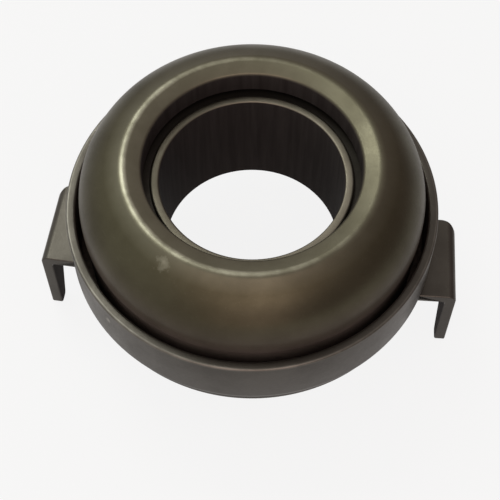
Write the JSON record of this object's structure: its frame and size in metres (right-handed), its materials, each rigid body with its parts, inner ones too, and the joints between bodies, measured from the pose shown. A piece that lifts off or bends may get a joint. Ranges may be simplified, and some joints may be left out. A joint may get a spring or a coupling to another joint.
{
  "type": "clutch release bearing",
  "caption": "Self-centring clutch release bearing: domed rotating nose ring in a pressed steel shell, on a guide sleeve and a stamped fork plate with pronged ears.",
  "frame": {"origin": "on the guide bore's axis, in the rear face of the fork plate", "axes": "+Z along the bore towards the domed nose, the ears along X, their prongs at the -Y end"},
  "size_m": [0.0786, 0.0678, 0.044],
  "materials": {
    "nose_steel": "satin, dark olive-brown oxide finish",
    "pressed_steel": "satin, phosphated sheet steel",
    "dark_steel": "satin, dark phosphated steel",
    "bearing_steel": "polished bearing steel",
    "spring_steel": "oiled spring steel",
    "cage_plastic": "moulded glass-filled plastic",
    "seal_rubber": "matt seal rubber"
  },
  "bodies": {
    "carrier": {"guide_sleeve": "dark_steel", "fork_plate": "pressed_steel", "housing_shell": "pressed_steel", "snap_ring": "spring_steel"},
    "spring_washer": {"wave_spring": "spring_steel"},
    "standing_ring": {"inner_ring": "bearing_steel"},
    "nose_ring": {"contact_ring": "nose_steel", "front_seal": "seal_rubber", "rear_seal": "seal_rubber"},
    "ball_set": {"ball_cage": "cage_plastic", "ball_01": "bearing_steel", "ball_02": "bearing_steel", "ball_03": "bearing_steel", "ball_04": "bearing_steel", "ball_05": "bearing_steel", "ball_06": "bearing_steel", "ball_07": "bearing_steel", "ball_08": "bearing_steel", "ball_09": "bearing_steel", "ball_10": "bearing_steel", "ball_11": "bearing_steel", "ball_12": "bearing_steel", "ball_13": "bearing_steel", "ball_14": "bearing_steel", "ball_15": "bearing_steel"}
  },
  "joints": [
    {"name": "float_x", "type": "slide", "parent": "carrier", "child": "spring_washer", "axis": [1, 0, 0], "range_m": [-0.0006, 0.0006]},
    {"name": "float_y", "type": "slide", "parent": "spring_washer", "child": "standing_ring", "axis": [0, 1, 0], "range_m": [-0.0006, 0.0006]},
    {"name": "ring_spin", "type": "hinge", "parent": "standing_ring", "child": "nose_ring", "pos_m": [0, 0, 0.013], "axis": [0, 0, 1], "continuous": true},
    {"name": "cage_orbit", "type": "hinge", "parent": "standing_ring", "child": "ball_set", "pos_m": [0, 0, 0.013], "axis": [0, 0, 1], "continuous": true}
  ],
  "couplings": [
    {"joint": "cage_orbit", "follows": "ring_spin", "ratio": 0.5703}
  ]
}
